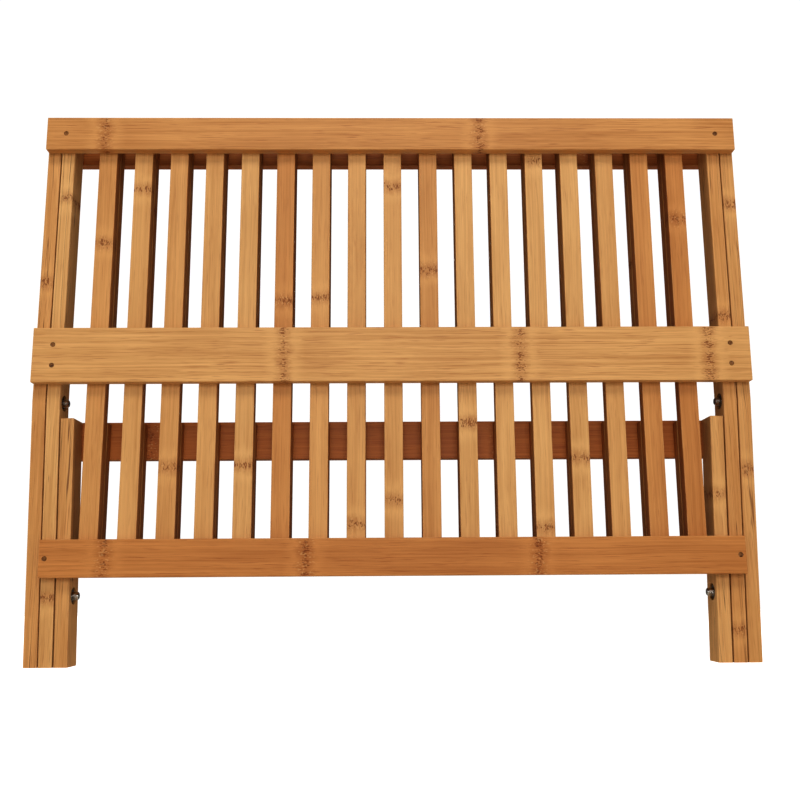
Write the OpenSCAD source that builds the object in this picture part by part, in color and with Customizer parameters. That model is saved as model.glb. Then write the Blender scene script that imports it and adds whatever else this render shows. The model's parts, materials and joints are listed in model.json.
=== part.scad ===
// Folding two-tier bamboo dish rack, in millimetres, standing folded on its feet.
// Three slatted frames share one stack of legs on each side: the main frame in the
// middle, the full-height cross frame outside it and the short shelf frame inside it.
// The stacks toe in a little towards the feet.
// The other two frames swing back about two pairs of bolts until their legs meet the
// lower edges of the main frame's rails. +Z runs up the legs, and the rails of the
// main frame face -Y.

/* [Slats] */
// Number of slats in each grid
slat_count = 17; // [9:2:17]
// Distance between the centres of two slats
slat_pitch = 24; // [20:1:28]
// Width of a slat, seen from the front
slat_w = 12; // [8:0.5:14]
// Thickness of a slat, front to back
slat_t = 9; // [7:0.25:9]
// How far the ends of a slat stop short of the rail's edge
slat_inset = 1.5; // [0:0.5:4]

/* [Legs] */
// Height of the folded rack
frame_h = 359.5; // [330:0.5:400]
// Height of the short shelf legs
shelf_h = 155; // [140:1:160]
// Width of a leg, seen from the front
leg_w = 8.5; // [8.5:0.5:12]
// Depth of a leg, front to back
leg_d = 18.2; // [18.2:0.2:20]
// Gap between two neighbouring legs
leg_gap = 0.8; // [0.8:0.1:1.5]
// How far the feet toe in, from the cross frame's pivot down
toe_in = 5; // [0:0.5:5]
// Gap between the last slat and the innermost leg
side_gap = 7.5; // [4:0.5:12]

/* [Rails] */
// Thickness of every rail
rail_t = 7; // [6:0.5:9]
// Height of the main frame's top rail
top_rail_h = 23; // [16:0.5:28]
// Height of the main frame's middle rail
middle_rail_h = 36; // [30:0.5:42]
// Height of the main frame's bottom rail
bottom_rail_h = 23.5; // [18:0.5:28]
// Height of the cross frame's lower rail
cross_rail_h = 24; // [16:0.5:28]
// Height of the shelf frame's top rail
shelf_rail_h = 25; // [16:0.5:28]
// How far the rails stop short of the outer faces of the legs that they lie on
rail_inset = 0.5; // [0.5:0.1:2]

/* [Pivots] */
// Height of the cross frame's pivot above the feet
cross_pivot_z = 166; // [163:1:170]
// Height of the shelf frame's pivot above the feet
shelf_pivot_z = 43; // [36:1:48]
// Height of a stopping rail's lower edge above its pivot
stop_rise = 11; // [11:0.5:13]
// Play between a frame and the rails that it folds against
fold_play = 0.3; // [0.2:0.1:0.6]
// Diameter of a pivot bolt
bolt_d = 5; // [4:0.5:5]

/* [Edges] */
// Radius of the eased edges of every bamboo piece
edge_r = 0.6; // [0.4:0.1:1.6]

/* [Hidden] */
edge_steps = 3;
main_y = -fold_play / 2;
swing_y = fold_play / 2;
front_y = main_y - leg_d / 2;
back_y = swing_y + leg_d / 2;

grid_w = (slat_count - 1) * slat_pitch + slat_w;
shelf_leg_x = grid_w / 2 + side_gap + leg_w / 2;
main_leg_x = shelf_leg_x + leg_w + leg_gap;
cross_leg_x = main_leg_x + leg_w + leg_gap;

// Tilt of the legs below the cross frame's pivot, and how far they have moved in at height z
toe_angle = atan(toe_in / cross_pivot_z);
function toe(z) = max(0, toe_in * (1 - z / cross_pivot_z));

// Length of a rail at height z on the legs whose upper parts stand at x
function rail_w(x, z) = 2 * (x - toe(z) - rail_inset) + leg_w;

top_rail_z = frame_h - top_rail_h;
middle_rail_z = cross_pivot_z + stop_rise;
bottom_rail_z = shelf_pivot_z + stop_rise;
cross_rail_z = middle_rail_z + middle_rail_h - cross_rail_h;
hidden_lift = 1;
shelf_lower_z = bottom_rail_z + hidden_lift;
shelf_lower_h = bottom_rail_h - hidden_lift;
shelf_rail_z = shelf_h - shelf_rail_h;
bottom_mid_z = bottom_rail_z + bottom_rail_h / 2;
full_w = rail_w(cross_leg_x, frame_h);
bottom_w = rail_w(main_leg_x, bottom_mid_z);
shelf_w = rail_w(shelf_leg_x, shelf_rail_z);
shelf_lower_w = rail_w(shelf_leg_x, bottom_mid_z);

shelf_pivot_toe = toe(shelf_pivot_z);
bolt_r = bolt_d / 2;
tight_fit = 0.04;
running_fit = 0.08;
recess_r = 5.3;
head_r = 4.7;
head_t = 2.6;
head_recess = 3.2;
socket_w = 3;
socket_depth = 1.5;
nut_recess = 4;
washer_r = 5;
washer_t = 0.8;
nut_w = 8;
nut_t = 2.2;
face_play = 0.2;
thread_tip = 0.6;
bolt_stands_out = 3.2;

// Distance from under a bolt's head to the floor of the recess for its nut
grip = 2 * leg_w + leg_gap - head_recess - nut_recess + face_play;
bolt_len = grip + nut_recess + bolt_stands_out;

nail_r = 0.9;
nail_len = 15;
nail_head_r = 1.5;
nail_head_t = 0.8;
nail_sink = 0.5;
nail_play = 0.05;
nail_hole_r = 1.6;
nail_row = 6.8;
joint_lap = 1.5;
foot_spare = 0.6;
over = 1;
round_fn = 48;
small_fn = 32;

bamboo_light = [0.80, 0.62, 0.40];
bamboo_mid = [0.75, 0.55, 0.33];
bamboo_warm = [0.70, 0.47, 0.26];
steel = [0.74, 0.74, 0.76];
dark_steel = [0.30, 0.29, 0.28];

// Heights of the nails in each rail
top_nails = [top_rail_z + top_rail_h / 2];
middle_nails = [for (s = [-1, 1]) middle_rail_z + middle_rail_h / 2 + s * nail_row];
bottom_nails = [bottom_mid_z];
cross_nails = [cross_rail_z + cross_rail_h / 2];
shelf_nails = [shelf_rail_z + shelf_rail_h / 2];
shelf_lower_nails = [shelf_lower_z + shelf_lower_h / 2];

// A slat's number as two digits
function two_digits(i) = str(i < 10 ? "0" : "", i);

slat_range = [1:slat_count];

// One rounded corner of an outline, from start degrees through a quarter turn
function corner(x, y, start) = [
    for (k = [0:edge_steps])
        let (a = start + 90 * k / edge_steps)
        [x + edge_r * cos(a), y + edge_r * sin(a)]
];

// Rectangle with eased corners, centred on the origin
module eased_rectangle(a, b) {
    u = a / 2 - edge_r;
    v = b / 2 - edge_r;
    polygon(concat(corner(u, v, 0), corner(-u, v, 90), corner(-u, -v, 180), corner(u, -v, 270)));
}

// Bar of size [x, y, z] with all its edges eased, centred in x and y and standing on z = 0
module bar(size) {
    translate([0, 0, size[2] / 2])
        intersection() {
            linear_extrude(size[2], center = true)
                eased_rectangle(size[0], size[1]);
            rotate([90, 0, 0])
                linear_extrude(size[1], center = true)
                    eased_rectangle(size[0], size[2]);
            rotate([90, 0, 90])
                linear_extrude(size[0], center = true)
                    eased_rectangle(size[1], size[2]);
        }
}

// Leg of height h at (x, y) on one side, upright above the cross frame's pivot and toed in
// below it, with its foot cut level
module leg(side, x, y, h) {
    rise = h - cross_pivot_z;
    intersection() {
        translate([side * x, y, cross_pivot_z])
            union() {
                if (rise > 0)
                    translate([0, 0, -joint_lap])
                        bar([leg_w, leg_d, rise + joint_lap]);
                rotate([0, side * toe_angle, 0])
                    translate([0, 0, -cross_pivot_z - foot_spare])
                        bar([leg_w, leg_d, min(h, cross_pivot_z + joint_lap) + foot_spare]);
            }
        translate([side * x, y, h / 2])
            cube([4 * leg_w, 2 * leg_d, h], center = true);
    }
}

// Round stepped hole for a bolt across a leg, and its recess in the face that looks along side
module bolt_hole(side, r, recess) {
    rotate([0, 90, 0]) {
        cylinder(h = leg_w + 2 * over, r = r, center = true, $fn = round_fn);
        translate([0, 0, side * (leg_w / 2 - recess)])
            mirror([0, 0, side < 0 ? 1 : 0])
                cylinder(h = recess + over, r = recess_r, $fn = round_fn);
    }
}

// Nail lying along +Y with the face of the rail at y = 0
module nail() {
    translate([0, nail_sink, 0])
        rotate([-90, 0, 0]) {
            cylinder(h = nail_head_t, r = nail_head_r, $fn = small_fn);
            cylinder(h = nail_len, r = nail_r, $fn = small_fn);
        }
}

// The space that a nail takes in a rail and a leg, in the same place as the nail
module nail_space() {
    rotate([-90, 0, 0]) {
        translate([0, 0, -over])
            cylinder(h = nail_sink + nail_head_t + over, r = nail_hole_r, $fn = small_fn);
        translate([0, 0, -over])
            cylinder(h = nail_sink + nail_len + 2 * over, r = nail_r + nail_play, $fn = small_fn);
    }
}

// Places its children at both ends of a rail: face is the y of the rail's outer face and
// into is 1 where the nails run towards +Y and -1 where they run towards -Y
module at_nails(x, face, heights, into) {
    for (side = [-1, 1])
        for (z = heights)
            translate([side * (x - toe(z)), face, z])
                mirror([0, into < 0 ? 1 : 0, 0])
                    children();
}

// Nails of the main frame's rails, or whatever else belongs at their places
module at_front_nails() {
    at_nails(main_leg_x, front_y - rail_t, concat(top_nails, middle_nails, bottom_nails), 1)
        children();
}

// The same for the cross frame's rails
module at_cross_nails() {
    at_nails(cross_leg_x, back_y + rail_t, concat(top_nails, cross_nails), -1)
        children();
}

// The same for the shelf frame's rails
module at_shelf_nails() {
    at_nails(shelf_leg_x, back_y + rail_t, concat(shelf_nails, shelf_lower_nails), -1)
        children();
}

// Centre of slat i, counted from the left
function slat_x(i) = (i - (slat_count + 1) / 2) * slat_pitch;

module main_leg(side) {
    color(side < 0 ? bamboo_mid : bamboo_warm)
        difference() {
            leg(side, main_leg_x, main_y, frame_h);
            translate([side * main_leg_x, 0, cross_pivot_z])
                bolt_hole(-side, bolt_r + tight_fit, nut_recess);
            translate([side * (main_leg_x - shelf_pivot_toe), 0, shelf_pivot_z])
                bolt_hole(side, bolt_r + tight_fit, head_recess);
            at_front_nails()
                nail_space();
        }
}

module main_slat(i) {
    z0 = bottom_rail_z + slat_inset;
    color(i % 3 == 0 ? bamboo_warm : bamboo_mid)
        translate([slat_x(i), front_y + slat_t / 2, z0])
            bar([slat_w, slat_t, frame_h - slat_inset - z0]);
}

// Rail against the main frame's front face, with holes for its nails
module front_rail(w, h, z) {
    difference() {
        translate([0, front_y - rail_t / 2, z])
            bar([w, rail_t, h]);
        at_front_nails()
            nail_space();
    }
}

module top_rail() {
    color(bamboo_light)
        front_rail(full_w, top_rail_h, top_rail_z);
}

module middle_rail() {
    color(bamboo_light)
        front_rail(full_w, middle_rail_h, middle_rail_z);
}

module bottom_rail() {
    color(bamboo_warm)
        front_rail(bottom_w, bottom_rail_h, bottom_rail_z);
}

module front_rail_nails() {
    color(dark_steel)
        at_front_nails()
            nail();
}

// Places its children at the four pivots, with +Z along the bolt towards the middle of
// the rack and z = 0 under the bolt's head
module at_pivots() {
    for (side = [-1, 1]) {
        translate([side * (cross_leg_x + leg_w / 2 - head_recess + face_play), 0, cross_pivot_z])
            rotate([0, -90 * side, 0])
                children();
        translate([side * (main_leg_x - shelf_pivot_toe + leg_w / 2 - head_recess), 0, shelf_pivot_z])
            rotate([0, -90 * side, 0])
                children();
    }
}

module pivot_bolts() {
    color(steel)
        at_pivots()
            difference() {
                union() {
                    translate([0, 0, -head_t])
                        cylinder(h = head_t, r = head_r, $fn = round_fn);
                    cylinder(h = bolt_len - thread_tip, r = bolt_r, $fn = round_fn);
                    translate([0, 0, bolt_len - thread_tip])
                        cylinder(h = thread_tip, r1 = bolt_r, r2 = bolt_r - thread_tip, $fn = round_fn);
                }
                translate([0, 0, -head_t - over])
                    cylinder(h = socket_depth + over, r = socket_w / sqrt(3), $fn = 6);
            }
}

module pivot_washers() {
    color(dark_steel)
        at_pivots()
            translate([0, 0, grip])
                difference() {
                    cylinder(h = washer_t, r = washer_r, $fn = round_fn);
                    translate([0, 0, -over])
                        cylinder(h = washer_t + 2 * over, r = bolt_r + running_fit, $fn = round_fn);
                }
}

module pivot_nuts() {
    color(dark_steel)
        at_pivots()
            translate([0, 0, grip + washer_t])
                difference() {
                    cylinder(h = nut_t, r = nut_w / sqrt(3), $fn = 6);
                    translate([0, 0, -over])
                        cylinder(h = nut_t + 2 * over, r = bolt_r + tight_fit, $fn = round_fn);
                }
}

module cross_leg(side) {
    color(side < 0 ? bamboo_warm : bamboo_mid)
        difference() {
            leg(side, cross_leg_x, swing_y, frame_h);
            translate([side * cross_leg_x, 0, cross_pivot_z])
                bolt_hole(side, bolt_r + running_fit, head_recess);
            at_cross_nails()
                nail_space();
        }
}

module cross_slat(i) {
    z0 = cross_rail_z + slat_inset;
    color(i % 2 == 0 ? bamboo_warm : bamboo_mid)
        translate([slat_x(i), back_y - slat_t / 2, z0])
            bar([slat_w, slat_t, frame_h - slat_inset - z0]);
}

// Rail against the back face of a swinging frame
module back_rail(w, h, z) {
    translate([0, back_y + rail_t / 2, z])
        bar([w, rail_t, h]);
}

module cross_top_rail() {
    color(bamboo_mid)
        difference() {
            back_rail(full_w, top_rail_h, top_rail_z);
            at_cross_nails()
                nail_space();
        }
}

module cross_lower_rail() {
    color(bamboo_mid)
        difference() {
            back_rail(full_w, cross_rail_h, cross_rail_z);
            at_cross_nails()
                nail_space();
        }
}

module cross_rail_nails() {
    color(dark_steel)
        at_cross_nails()
            nail();
}

module shelf_leg(side) {
    color(bamboo_mid)
        difference() {
            leg(side, shelf_leg_x, swing_y, shelf_h);
            translate([side * (shelf_leg_x - shelf_pivot_toe), 0, shelf_pivot_z])
                bolt_hole(-side, bolt_r + running_fit, nut_recess);
            at_shelf_nails()
                nail_space();
        }
}

module shelf_slats() {
    z0 = shelf_lower_z + slat_inset;
    color(bamboo_warm)
        for (i = slat_range)
            translate([slat_x(i), back_y - slat_t / 2, z0])
                bar([slat_w, slat_t, shelf_h - slat_inset - z0]);
}

module shelf_top_rail() {
    color(bamboo_mid)
        difference() {
            back_rail(shelf_w, shelf_rail_h, shelf_rail_z);
            at_shelf_nails()
                nail_space();
        }
}

module shelf_lower_rail() {
    color(bamboo_mid)
        difference() {
            back_rail(shelf_lower_w, shelf_lower_h, shelf_lower_z);
            at_shelf_nails()
                nail_space();
        }
}

module shelf_rail_nails() {
    color(dark_steel)
        at_shelf_nails()
            nail();
}

// Main frame
main_leg(-1);  // main_leg_left
main_leg(1);  // main_leg_right
for (i = slat_range)
    main_slat(i);
top_rail();
middle_rail();
bottom_rail();
front_rail_nails();
pivot_bolts();
pivot_washers();
pivot_nuts();

// Cross frame
cross_leg(-1);  // cross_leg_left
cross_leg(1);  // cross_leg_right
for (i = slat_range)
    cross_slat(i);
cross_top_rail();
cross_lower_rail();
cross_rail_nails();

// Shelf frame
shelf_leg(-1);  // shelf_leg_left
shelf_leg(1);  // shelf_leg_right
shelf_slats();
shelf_top_rail();
shelf_lower_rail();
shelf_rail_nails();
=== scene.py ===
"""A folding two-tier bamboo dish rack: camera, studio, bamboo and steel finishes, and the bolts' threads."""

import json
import math

import bmesh
import bpy
from mathutils import Matrix, Vector


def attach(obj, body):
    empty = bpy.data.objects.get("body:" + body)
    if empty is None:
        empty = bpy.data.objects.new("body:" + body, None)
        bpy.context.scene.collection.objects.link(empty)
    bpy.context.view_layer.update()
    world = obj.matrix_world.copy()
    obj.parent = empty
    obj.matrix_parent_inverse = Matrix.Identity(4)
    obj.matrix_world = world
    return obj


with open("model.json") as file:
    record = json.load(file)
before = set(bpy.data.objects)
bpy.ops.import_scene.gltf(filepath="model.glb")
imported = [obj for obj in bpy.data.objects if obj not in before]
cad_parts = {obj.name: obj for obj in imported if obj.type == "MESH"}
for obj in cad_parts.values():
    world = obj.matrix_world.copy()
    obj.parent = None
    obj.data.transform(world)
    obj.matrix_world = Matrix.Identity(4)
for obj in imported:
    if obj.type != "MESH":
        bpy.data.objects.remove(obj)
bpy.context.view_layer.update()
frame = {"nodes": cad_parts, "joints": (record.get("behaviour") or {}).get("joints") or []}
NODES = frame["nodes"]
MM = 0.001

# ---- Bamboo: tones and growth marks ------------------------------------------------------------------------
# A tone runs from 0, the palest straw, to 9, deep amber, and on to 13, which is painted shade on the two rear
# rails.
# Colours are sRGB, 0 to 255.
STRAW, AMBER = (217, 176, 118), (190, 128, 69)
AMBER_TONE = 9
DEEP_SCALE = (0.93, 0.86, 0.78)
MAIN_SLAT_TONES = "42321632241111267"
CROSS_SLAT_TONES = "35243614253124536"
SHELF_SLAT_TONE = 4
LEG_TONES = {
    "main_leg_left": 1, "main_leg_right": 4, "cross_leg_left": 4,
    "cross_leg_right": 3, "shelf_leg_left": 3, "shelf_leg_right": 2,
}
# cross_top_rail and shelf_top_rail at tone 13 are painted shade: darker than their wood, so they look shaded
# behind the front rails.
RAIL_TONES = {
    "top_rail": 5, "middle_rail": 2, "bottom_rail": 8, "cross_top_rail": 13,
    "cross_lower_rail": 6, "shelf_top_rail": 13, "shelf_lower_rail": 7,
}
# Where the culm's knuckles cross a piece, in mm along its grain: up the slats and legs, across the rails.
KNUCKLES = {
    "top_rail": (-193, 59), "middle_rail": (-71, 82, 205), "bottom_rail": (-180, -55, 90),
    "cross_top_rail": (-120, 140), "cross_lower_rail": (-30, 190),
    "shelf_top_rail": (-160, 70), "shelf_lower_rail": (10, 175),
    "main_leg_left": (305, 42), "main_leg_right": (222, 20), "cross_leg_left": (246,),
    "cross_leg_right": (120, 300), "shelf_leg_left": (66,), "shelf_leg_right": (105,),
    "main_slat_01": (273,), "main_slat_02": (311,), "main_slat_03": (123,), "main_slat_05": (124,),
    "main_slat_06": (233,), "main_slat_07": (235,), "main_slat_08": (86,), "main_slat_09": (313, 102),
    "main_slat_10": (254,), "main_slat_11": (151,), "main_slat_13": (332, 84), "main_slat_14": (128,),
    "main_slat_17": (290,), "cross_slat_02": (300,), "cross_slat_05": (220,), "cross_slat_08": (285,),
    "cross_slat_11": (240,), "cross_slat_12": (318,), "cross_slat_16": (262,),
}
FAR_KNUCKLE = 1000.0
# Painted shade: the tint that darkens slat flanks, as if shaded by their neighbours.
FLANK_SHADE_TINT = (0.66, 0.50, 0.38, 1.0)


# ---- Shader building ---------------------------------------------------------------------------------------
def linear(rgb):
    """An sRGB colour, 0 to 255, as the linear RGBA that a shader takes."""
    def channel(value):
        share = value / 255
        return share / 12.92 if share <= 0.04045 else ((share + 0.055) / 1.055) ** 2.4
    return (*(channel(value) for value in rgb), 1.0)


def blend_rgb(first, second, share):
    return tuple(a + (b - a) * share for a, b in zip(first, second))


class Graph:
    """Adds nodes to one shader tree. Inputs may be numbers, vectors, colours or other nodes' outputs."""

    def __init__(self, tree):
        self.tree = tree

    def add(self, kind, inputs=None, **settings):
        node = self.tree.nodes.new(kind)
        for name, value in settings.items():
            setattr(node, name, value)
        for key, value in (inputs or {}).items():
            if isinstance(value, bpy.types.NodeSocket):
                self.tree.links.new(value, node.inputs[key])
            else:
                node.inputs[key].default_value = value
        return node

    def math(self, operation, a, b=0.0, clamp=False):
        return self.add("ShaderNodeMath", {0: a, 1: b}, operation=operation, use_clamp=clamp).outputs[0]

    def vector(self, operation, a, b):
        return self.add("ShaderNodeVectorMath", {0: a, 1: b}, operation=operation).outputs[0]

    def step(self, value, low, high, out_low=0.0, out_high=1.0):
        """A smooth step of value from low to high, which may run downwards."""
        swap = low > high
        inputs = {
            "Value": value, "From Min": min(low, high), "From Max": max(low, high),
            "To Min": out_high if swap else out_low, "To Max": out_low if swap else out_high,
        }
        return self.add("ShaderNodeMapRange", inputs, interpolation_type="SMOOTHSTEP").outputs[0]

    def noise(self, place, scale, detail=2.0, roughness=0.5, colour=False):
        """Noise with features about 1 / scale long on each axis."""
        stretched = self.vector("MULTIPLY", place, scale)
        inputs = {"Vector": stretched, "Scale": 1.0, "Detail": detail, "Roughness": roughness}
        return self.add("ShaderNodeTexNoise", inputs).outputs[1 if colour else 0]

    def mix(self, share, a, b, blend="MIX"):
        node = self.add("ShaderNodeMix", data_type="RGBA", blend_type=blend, clamp_factor=True)
        for key, value in ((0, share), (6, a), (7, b)):
            if isinstance(value, bpy.types.NodeSocket):
                self.tree.links.new(value, node.inputs[key])
            else:
                node.inputs[key].default_value = value
        return node.outputs[2]

    def about_half(self, value, gain):
        """Noise, which centres on a half, as a share that centres on zero."""
        return self.math("MULTIPLY", self.math("SUBTRACT", value, 0.5), gain)


def new_group(name, inputs, outputs):
    """An empty node group, its graph, its input sockets by name and its output node."""
    tree = bpy.data.node_groups.new(name, "ShaderNodeTree")
    for label, kind in inputs:
        tree.interface.new_socket(label, in_out="INPUT", socket_type=kind)
    for label, kind in outputs:
        tree.interface.new_socket(label, in_out="OUTPUT", socket_type=kind)
    graph = Graph(tree)
    return tree, graph, tree.nodes.new("NodeGroupInput").outputs, tree.nodes.new("NodeGroupOutput")


def bamboo_group():
    """Split bamboo seen along, across and on end. Place, in mm, and Facing, the surface's own direction,
    have the grain along Z. Knuckle is the distance in mm to the nearest knuckle."""
    tree, g, given, result = new_group(
        "bamboo",
        [("Place", "NodeSocketVector"), ("Facing", "NodeSocketVector"), ("Knuckle", "NodeSocketFloat"),
         ("Pale", "NodeSocketColor"), ("Deep", "NodeSocketColor"), ("Figure", "NodeSocketFloat"),
         ("Checks", "NodeSocketFloat"), ("Flank Shade", "NodeSocketFloat")],
        [("Colour", "NodeSocketColor"), ("Roughness", "NodeSocketFloat"), ("Height", "NodeSocketFloat")],
    )
    place, facing, knuckle = given["Place"], given["Facing"], given["Knuckle"]

    # The fibres wander a little everywhere, and more where they cross a knuckle.
    near = g.step(knuckle, 16.0, 2.0)
    drift_way = g.vector("SUBTRACT", g.noise(place, (0.03, 0.03, 0.011), 1.0, colour=True), (0.5, 0.5, 0.5))
    swirl_way = g.vector("SUBTRACT", g.noise(place, (0.22, 0.22, 0.10), 1.0, colour=True), (0.5, 0.5, 0.5))
    swirl_size = g.math("MULTIPLY", near, 2.2)
    swirl = g.add("ShaderNodeVectorMath", {0: swirl_way, "Scale": swirl_size}, operation="SCALE")
    wandering = g.vector("ADD", place, g.vector("MULTIPLY", drift_way, (3.0, 3.0, 0.0)))
    fibre_place = g.vector("ADD", wandering, swirl.outputs[0])

    fibre = g.noise(fibre_place, (2.8, 2.8, 0.014), 3.0, 0.6)
    strand = g.noise(fibre_place, (0.62, 0.62, 0.004), 2.0, 0.55)
    dash = g.noise(fibre_place, (2.4, 2.4, 0.050), 1.0)
    cloud = g.noise(place, (0.045, 0.045, 0.012), 2.0)

    # Tone: broad bands of strands, fine fibres over them, and a slow drift along the culm.
    figure = given["Figure"]
    tone = g.math("ADD", g.about_half(strand, 1.5), g.about_half(fibre, 1.3))
    tone = g.math("ADD", g.math("MULTIPLY", tone, figure), g.about_half(cloud, 1.0))
    tone = g.math("ADD", tone, 0.5, clamp=True)
    colour = g.mix(tone, given["Deep"], given["Pale"])
    dark = g.mix(1.0, given["Deep"], linear((196, 140, 112)), "MULTIPLY")
    dashes = g.math("MULTIPLY", g.step(dash, 0.60, 0.74, 0.0, 0.48), figure)
    colour = g.mix(dashes, colour, dark)
    pale_hairs = g.math("MULTIPLY", g.step(fibre, 0.60, 0.76, 0.0, 0.30), figure)
    colour = g.mix(pale_hairs, colour, given["Pale"])

    # Checks: hair-thin dark lines that run a long way with the grain.
    split_line = g.noise(wandering, (0.26, 0.26, 0.0025), 1.0)
    check = g.step(g.math("ABSOLUTE", g.math("SUBTRACT", split_line, 0.44)), 0.010, 0.003)
    check = g.math("MULTIPLY", g.math("MULTIPLY", check, g.step(cloud, 0.47, 0.56)), given["Checks"])
    colour = g.mix(g.math("MULTIPLY", check, 0.75), colour, linear((96, 50, 26)))

    # Knuckle: a warm band, a broken line of bundle ends at its middle, and a few more scattered about it.
    wobble = g.about_half(g.noise(place, (0.20, 0.20, 0.06), 3.0, 0.60), 9.0)
    reach = g.math("ABSOLUTE", g.math("ADD", knuckle, wobble))
    patchy = g.noise(place, (0.3, 0.3, 0.1), 1.0)
    warm = g.math("MULTIPLY", g.step(reach, 7.0, 1.0, 0.0, 0.40), patchy)
    colour = g.mix(warm, colour, dark)
    glow = g.math("MULTIPLY", g.step(reach, 15.0, 7.0, 0.0, 0.4), g.step(reach, 3.0, 8.0))
    colour = g.mix(glow, colour, given["Pale"])
    specks = g.noise(place, (1.5, 1.5, 0.50), 1.0, 0.6)
    crowd = g.math("MULTIPLY", g.step(reach, 4.0, 0.3), g.step(patchy, 0.30, 0.60, 0.12, 0.24))
    speck_mask = g.step(g.math("ADD", specks, crowd), 0.70, 0.76)
    speck_mask = g.math("MULTIPLY", speck_mask, g.step(reach, 5.0, 2.5))
    colour = g.mix(g.math("MULTIPLY", speck_mask, 0.72), colour, linear((122, 58, 20)))
    fleck_noise = g.noise(place, (1.2, 1.2, 0.6), 0.0)
    flecks = g.math("MULTIPLY", g.step(fleck_noise, 0.64, 0.74), g.step(reach, 9.0, 3.0))
    colour = g.mix(g.math("MULTIPLY", flecks, 0.26), colour, linear((240, 200, 136)))

    # End grain: dark bundle ends in paler pith, drier and darker than the long faces.
    across = g.add("ShaderNodeSeparateXYZ", {0: facing}).outputs
    sizes = [g.math("ABSOLUTE", across[axis]) for axis in range(3)]
    end = g.step(sizes[2], 0.55, 0.85)
    cut_place = g.vector("MULTIPLY", place, (1.15, 1.15, 0.0))
    cells = g.add("ShaderNodeTexVoronoi", {"Vector": cut_place, "Scale": 1.0})
    pores = g.step(cells.outputs["Distance"], 0.34, 0.20)
    pith = g.mix(g.math("MULTIPLY", pores, 0.7), given["Deep"], dark)
    end_colour = g.mix(1.0, pith, linear((214, 206, 196)), "MULTIPLY")
    colour = g.mix(end, colour, end_colour)

    # Painted shade: a tint darkens the flanks of a slat, standing in for the shade between neighbouring
    # slats.
    flank_shade = g.math("MULTIPLY", g.step(sizes[0], 0.55, 0.90), given["Flank Shade"])
    colour = g.mix(flank_shade, colour, g.mix(1.0, colour, FLANK_SHADE_TINT, "MULTIPLY"))

    # Sanded edges are paler in patches, and darker in other patches along them.
    flattest = g.math("MAXIMUM", g.math("MAXIMUM", sizes[0], sizes[1]), sizes[2])
    edge = g.step(g.math("SUBTRACT", 1.0, flattest), 0.004, 0.12)
    worn = g.noise(place, (0.35, 0.35, 0.06), 2.0)
    sanded = g.math("MULTIPLY", edge, g.step(worn, 0.42, 0.62, 0.10, 0.55))
    colour = g.mix(sanded, colour, linear((226, 178, 118)))
    colour = g.mix(g.math("MULTIPLY", edge, g.step(worn, 0.44, 0.34, 0.0, 0.35)), colour, dark)

    rough = g.math("ADD", g.about_half(fibre, 0.16), g.about_half(cloud, 0.14))
    rough = g.math("ADD", rough, g.math("MULTIPLY", end, 0.22))
    rough = g.math("ADD", rough, g.math("MULTIPLY", speck_mask, 0.15))
    rough = g.math("ADD", g.math("SUBTRACT", rough, g.math("MULTIPLY", edge, 0.06)), 0.47, clamp=True)

    height = g.math("ADD", g.math("MULTIPLY", fibre, 0.05), g.math("MULTIPLY", strand, 0.05))
    height = g.math("SUBTRACT", height, g.math("MULTIPLY", dashes, 0.05))
    height = g.math("SUBTRACT", height, g.math("MULTIPLY", speck_mask, 0.06))
    height = g.math("ADD", height, g.step(reach, 4.0, 0.0, 0.0, 0.05))
    height = g.math("SUBTRACT", height, g.math("MULTIPLY", check, 0.15))
    height = g.math("SUBTRACT", height, g.math("MULTIPLY", g.math("MULTIPLY", pores, end), 0.10))

    for label, value in (("Colour", colour), ("Roughness", rough), ("Height", height)):
        tree.links.new(value, result.inputs[label])
    return tree


def set_material(piece, material):
    for slot in piece.material_slots:
        slot.material = material
    if not piece.material_slots:
        piece.data.materials.append(material)


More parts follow.
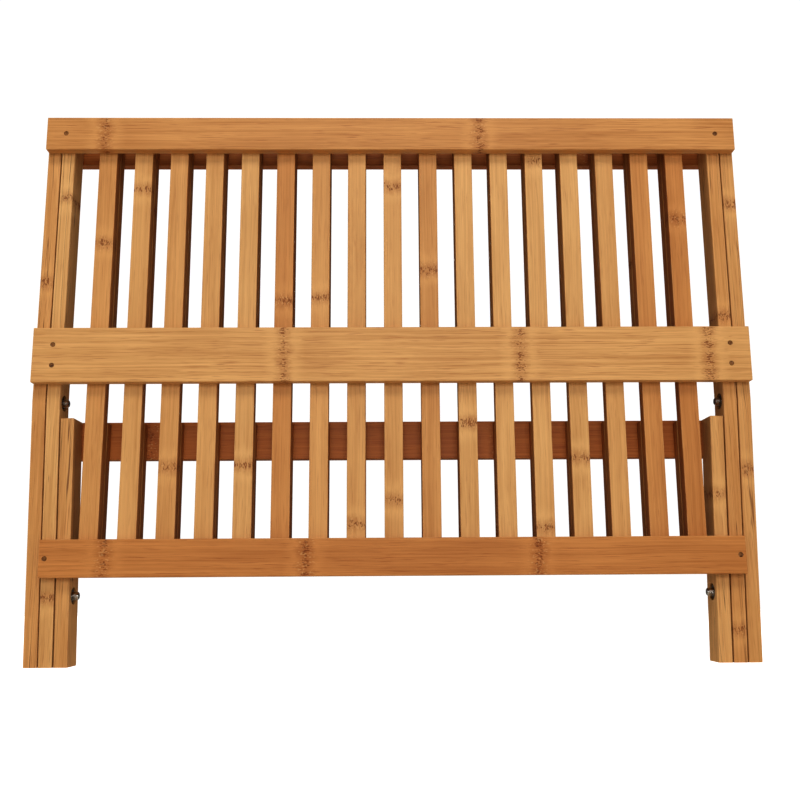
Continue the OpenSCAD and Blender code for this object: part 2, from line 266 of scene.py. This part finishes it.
def bamboo(name, group, along_x, tone, seed, figure=1.0, checks=0.0, flank_shade=0.0):
    """One piece's own cut of bamboo. along_x turns the grain from up to across, figure is how bold its fibres
    look, checks how many hair cracks it has, and the last argument how strongly painted shade darkens its
    sides."""
    material = bpy.data.materials.new(name)
    material.use_nodes = True
    tree = material.node_tree
    g = Graph(tree)
    shader = tree.nodes["Principled BSDF"]
    own = g.add("ShaderNodeTexCoord")
    in_mm = g.vector("MULTIPLY", own.outputs["Object"], (1000, 1000, 1000))
    split = g.add("ShaderNodeSeparateXYZ", {0: in_mm}).outputs
    faces = g.add("ShaderNodeSeparateXYZ", {0: own.outputs["Normal"]}).outputs
    order = (2, 1, 0) if along_x else (0, 1, 2)
    turned_place = {axis: split[source] for axis, source in enumerate(order)}
    turned_faces = {axis: faces[source] for axis, source in enumerate(order)}
    place = g.add("ShaderNodeCombineXYZ", turned_place).outputs[0]
    facing = g.add("ShaderNodeCombineXYZ", turned_faces).outputs[0]
    place = g.vector("ADD", place, (seed * 23.7, seed * 41.3, 0.0))
    nearest = FAR_KNUCKLE
    for position in KNUCKLES.get(name, ()):
        gap = g.math("ABSOLUTE", g.math("SUBTRACT", split[order[2]], float(position)))
        nearest = g.math("MINIMUM", gap, nearest)
    middle = blend_rgb(STRAW, AMBER, tone / AMBER_TONE)
    deep = [value * scale for value, scale in zip(middle, DEEP_SCALE)]
    cut = g.add("ShaderNodeGroup", node_tree=group)
    for label, value in (("Place", place), ("Facing", facing), ("Knuckle", nearest)):
        if isinstance(value, bpy.types.NodeSocket):
            tree.links.new(value, cut.inputs[label])
        else:
            cut.inputs[label].default_value = value
    cut.inputs["Pale"].default_value = linear([min(255, value * 1.07 + 6) for value in middle])
    cut.inputs["Deep"].default_value = linear(deep)
    cut.inputs["Figure"].default_value = figure
    cut.inputs["Checks"].default_value = checks
    cut.inputs["Flank Shade"].default_value = flank_shade
    bump = g.add("ShaderNodeBump", {"Strength": 0.55, "Distance": MM, "Height": cut.outputs["Height"]})
    tree.links.new(cut.outputs["Colour"], shader.inputs["Base Color"])
    tree.links.new(cut.outputs["Roughness"], shader.inputs["Roughness"])
    tree.links.new(bump.outputs[0], shader.inputs["Normal"])
    shader.inputs["IOR"].default_value = 1.48
    shader.inputs["Specular IOR Level"].default_value = 0.22
    return material


def finish_bamboo():
    """Gives every leg, rail and slat node a cut of its own."""
    group = bamboo_group()
    seed = 1
    for name, tone in LEG_TONES.items():
        set_material(NODES[name], bamboo(name, group, False, tone, seed, 0.9, 1.0))
        seed += 1
    for name, tone in RAIL_TONES.items():
        set_material(NODES[name], bamboo(name, group, True, tone, seed, 1.0))
        seed += 1
    for family, tones in (("main_slat", MAIN_SLAT_TONES), ("cross_slat", CROSS_SLAT_TONES)):
        for index, tone in enumerate(tones, 1):
            name = f"{family}_{index:02d}"
            # The last argument, 1.0, paints full shade onto each slat's flanks.
            set_material(NODES[name], bamboo(name, group, False, int(tone), seed, 0.7, 0.0, 1.0))
            seed += 1
    shelf_slats = bamboo("shelf_slats", group, False, SHELF_SLAT_TONE, seed, 0.7, 0.0, 1.0)
    set_material(NODES["shelf_slats"], shelf_slats)


# ---- Steel -------------------------------------------------------------------------------------------------
def steel(name, colour, rough, grime, grain_scale):
    """Machined steel: brushed tone, dull patches and fine scratches."""
    material = bpy.data.materials.new(name)
    material.use_nodes = True
    tree = material.node_tree
    g = Graph(tree)
    shader = tree.nodes["Principled BSDF"]
    own = g.add("ShaderNodeTexCoord").outputs["Object"]
    patches = g.noise(own, (380, 380, 380), 3.0, 0.6)
    lines = g.noise(own, grain_scale, 2.0, 0.6)
    tint = g.mix(g.step(patches, 0.45, 0.70), linear(colour), linear(grime))
    tint = g.mix(g.about_half(lines, 0.6), tint, linear((236, 234, 228)))
    dulled = g.step(patches, 0.40, 0.72, rough, rough + 0.22)
    roughness = g.math("ADD", dulled, g.about_half(lines, 0.20), clamp=True)
    bump = g.add("ShaderNodeBump", {"Strength": 0.35, "Distance": 0.05 * MM, "Height": lines})
    tree.links.new(tint, shader.inputs["Base Color"])
    tree.links.new(roughness, shader.inputs["Roughness"])
    tree.links.new(bump.outputs[0], shader.inputs["Normal"])
    shader.inputs["Metallic"].default_value = 1.0
    return material


def finish_steel():
    """Gives the fasteners their steel and returns the plated one, which the threads share."""
    plated = steel("zinc_plate", (206, 204, 198), 0.20, (150, 146, 138), (300, 4000, 4000))
    dark = steel("dark_steel", (112, 104, 96), 0.34, (70, 58, 48), (2600, 500, 2600))
    nail = steel("nail_steel", (150, 104, 62), 0.55, (96, 56, 28), (2400, 2400, 500))
    for name in ("pivot_nuts", "pivot_washers"):
        set_material(NODES[name], dark)
        ease = NODES[name].modifiers.new("eased_edges", "BEVEL")
        ease.width, ease.segments, ease.limit_method = 0.18 * MM, 2, "ANGLE"
    set_material(NODES["pivot_bolts"], plated)
    for name in ("front_rail_nails", "cross_rail_nails", "shelf_rail_nails"):
        set_material(NODES[name], nail)
    return plated


# ---- Bolt threads ------------------------------------------------------------------------------------------
BOLT_RADIUS = 2.5 * MM
THREAD_PITCH, THREAD_RISE, THREAD_ROOT = 0.8 * MM, 0.14 * MM, 0.2 * MM
THREAD_STEPS = 24
TIP_CHAMFER = 0.6 * MM
PIVOT_REACH = 10 * MM


def inner_end(node, side, height):
    """How far from the rack's middle plane a piece of steel at one pivot begins."""
    places = [vertex.co for vertex in NODES[node].data.vertices]
    return min(abs(co.x) for co in places if co.x * side > 0 and abs(co.z - height) < PIVOT_REACH)


def thread_rings(side, height):
    """Rings of one helical ridge, from the nut's inner face to the chamfer at the bolt's tip."""
    start = inner_end("pivot_nuts", side, height)
    run = start - inner_end("pivot_bolts", side, height) - TIP_CHAMFER
    last = int(run / THREAD_PITCH * THREAD_STEPS)
    rings = []
    for step in range(last + 1):
        turn = 2 * math.pi * step / THREAD_STEPS
        fade = min(1.0, 3 * step / THREAD_STEPS, 3 * (last - step) / THREAD_STEPS)
        along = start - THREAD_PITCH * step / THREAD_STEPS
        crest = BOLT_RADIUS + THREAD_RISE * fade - 0.02 * MM * (1 - fade)
        root = BOLT_RADIUS - THREAD_ROOT
        foot, top = 0.42 * THREAD_PITCH, 0.06 * THREAD_PITCH
        outline = ((along - foot, root), (along - top, crest), (along + top, crest), (along + foot, root))
        rings.append([(side * x, r * math.cos(turn), height + r * math.sin(turn)) for x, r in outline])
    return rings


def bolt_threads(material):
    """The threads of the four pivot bolts where they stand proud of their nuts."""
    shape = bmesh.new()
    for joint in frame["joints"]:
        for side in (-1, 1):
            rings = thread_rings(side, joint["pos_m"][2])
            loops = [[shape.verts.new(place) for place in ring] for ring in rings]
            for near, far in zip(loops, loops[1:]):
                for k in range(4):
                    shape.faces.new((near[k], near[(k + 1) % 4], far[(k + 1) % 4], far[k]))
            shape.faces.new(loops[0])
            shape.faces.new(reversed(loops[-1]))
    bmesh.ops.recalc_face_normals(shape, faces=shape.faces)
    mesh = bpy.data.meshes.new("bolt_threads")
    shape.to_mesh(mesh)
    shape.free()
    mesh.materials.append(material)
    threads = bpy.data.objects.new("bolt_threads", mesh)
    bpy.context.scene.collection.objects.link(threads)
    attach(threads, "main_frame")


# ---- Studio ------------------------------------------------------------------------------------------------
PRINT_GAMMA = 0.8
TENT_GLOW, BACKDROP_GLOW, WHITE_SURROUND = 0.35, 0.03, 1.05
FLOOR_REACH = 1.8
FLOOR_BOUNCE = (226, 216, 200)


def area_light(name, place, target, size, power, mirrored=True):
    """A soft box. One that is not mirrored fills in matt light only and shows in no reflection."""
    data = bpy.data.lights.new(name, "AREA")
    data.shape, data.size, data.size_y, data.energy = "RECTANGLE", size[0], size[1], power
    lamp = bpy.data.objects.new(name, data)
    bpy.context.scene.collection.objects.link(lamp)
    lamp.visible_camera = False
    lamp.visible_glossy = mirrored
    lamp.location = place
    lamp.rotation_euler = (Vector(target) - Vector(place)).to_track_quat("-Z", "Y").to_euler()


def floor_paper():
    """White paper that fades into the white surround well away from the rack."""
    paint = bpy.data.materials.new("floor_paper")
    paint.use_nodes = True
    tree = paint.node_tree
    g = Graph(tree)
    shader = tree.nodes["Principled BSDF"]
    own = g.add("ShaderNodeTexCoord").outputs["Object"]
    seen = g.add("ShaderNodeLightPath").outputs["Is Camera Ray"]
    tooth = g.noise(own, (9, 9, 9), 3.0)
    paper = g.mix(tooth, (0.93, 0.93, 0.93, 1), (0.96, 0.96, 0.955, 1))
    tree.links.new(g.mix(seen, linear(FLOOR_BOUNCE), paper), shader.inputs["Base Color"])
    shader.inputs["Roughness"].default_value = 0.9
    shader.inputs["Specular IOR Level"].default_value = 0.1
    glow = g.add("ShaderNodeEmission", {"Color": (1, 1, 1, 1), "Strength": 0.85})
    lifted = g.add("ShaderNodeAddShader", {0: shader.outputs[0], 1: glow.outputs[0]})
    only_seen = g.add("ShaderNodeMixShader", {0: seen, 1: shader.outputs[0], 2: lifted.outputs[0]})
    away = g.add("ShaderNodeVectorMath", {0: own}, operation="LENGTH").outputs["Value"]
    clear = g.add("ShaderNodeBsdfTransparent")
    fade = g.step(away, 0.9, 1.6)
    faded = g.add("ShaderNodeMixShader", {0: fade, 1: only_seen.outputs[0], 2: clear.outputs[0]})
    tree.links.new(faded.outputs[0], tree.nodes["Material Output"].inputs["Surface"])
    return paint


def studio():
    """A plain pale floor in a white surround. The front half glows evenly, with soft boxes in front, overhead
    and behind, and on each side a low card and a soft box in line with the rack."""
    view = bpy.context.scene.view_settings
    view.view_transform, view.look, view.gamma = "Standard", "None", PRINT_GAMMA
    middle = (0.0, 0.0, 0.18)
    area_light("key_soft_box", (0.05, -2.50, 0.85), middle, (0.9, 0.7), 16.5)
    area_light("overhead_soft_box", (0.0, -1.15, 1.55), middle, (0.8, 0.5), 12)
    area_light("back_soft_box", (0.0, 2.50, 0.95), middle, (0.9, 0.7), 26, False)
    for side in (-1, 1):
        foot = (-0.2 * side, 0.0, 0.05)
        area_light("side_card", (1.6 * side, -0.25, 0.15), foot, (0.4, 0.5), 4.5)
        area_light("side_soft_box", (2.4 * side, 0.0, 0.40), middle, (0.25, 0.7), 9, False)

    world = bpy.data.worlds.new("studio_white")
    world.use_nodes = True
    bpy.context.scene.world = world
    g = Graph(world.node_tree)
    seen = g.add("ShaderNodeLightPath").outputs["Is Camera Ray"]
    white = world.node_tree.nodes["Background"]
    white.inputs["Color"].default_value = (1.0, 1.0, 1.0, 1.0)
    way = g.add("ShaderNodeSeparateXYZ", {0: g.add("ShaderNodeTexCoord").outputs["Generated"]}).outputs
    tent = g.step(way["Y"], 0.10, -0.30, BACKDROP_GLOW, TENT_GLOW)
    hidden_glow = g.math("MULTIPLY", tent, g.math("SUBTRACT", 1.0, seen))
    lit = g.math("ADD", hidden_glow, g.math("MULTIPLY", seen, WHITE_SURROUND))
    world.node_tree.links.new(lit, white.inputs["Strength"])

    mesh = bpy.data.meshes.new("floor")
    corners = [(x * FLOOR_REACH, y * FLOOR_REACH, 0) for x, y in ((-1, -1), (1, -1), (1, 1), (-1, 1))]
    mesh.from_pydata(corners, [], [(0, 1, 2, 3)])
    floor = bpy.data.objects.new("floor", mesh)
    bpy.context.scene.collection.objects.link(floor)
    mesh.materials.append(floor_paper())


def front_camera():
    """Low and close in front, tilted up, so that the rack widens towards its feet."""
    data = bpy.data.cameras.new("front_camera")
    data.lens, data.sensor_width = 43.29, 36.0
    data.clip_start, data.clip_end = 0.01, 30.0
    camera = bpy.data.objects.new("front_camera", data)
    bpy.context.scene.collection.objects.link(camera)
    swing, tilt_up, roll = -0.0154, 0.1904, -0.0065
    turn = Matrix.Rotation(swing, 4, "Z") @ Matrix.Rotation(math.pi / 2 + tilt_up, 4, "X")
    turn = turn @ Matrix.Rotation(roll, 4, "Z")
    camera.matrix_world = Matrix.Translation((-0.0052, -0.6203, 0.0482)) @ turn
    bpy.context.scene.camera = camera


front_camera()
studio()
finish_bamboo()
bolt_threads(finish_steel())
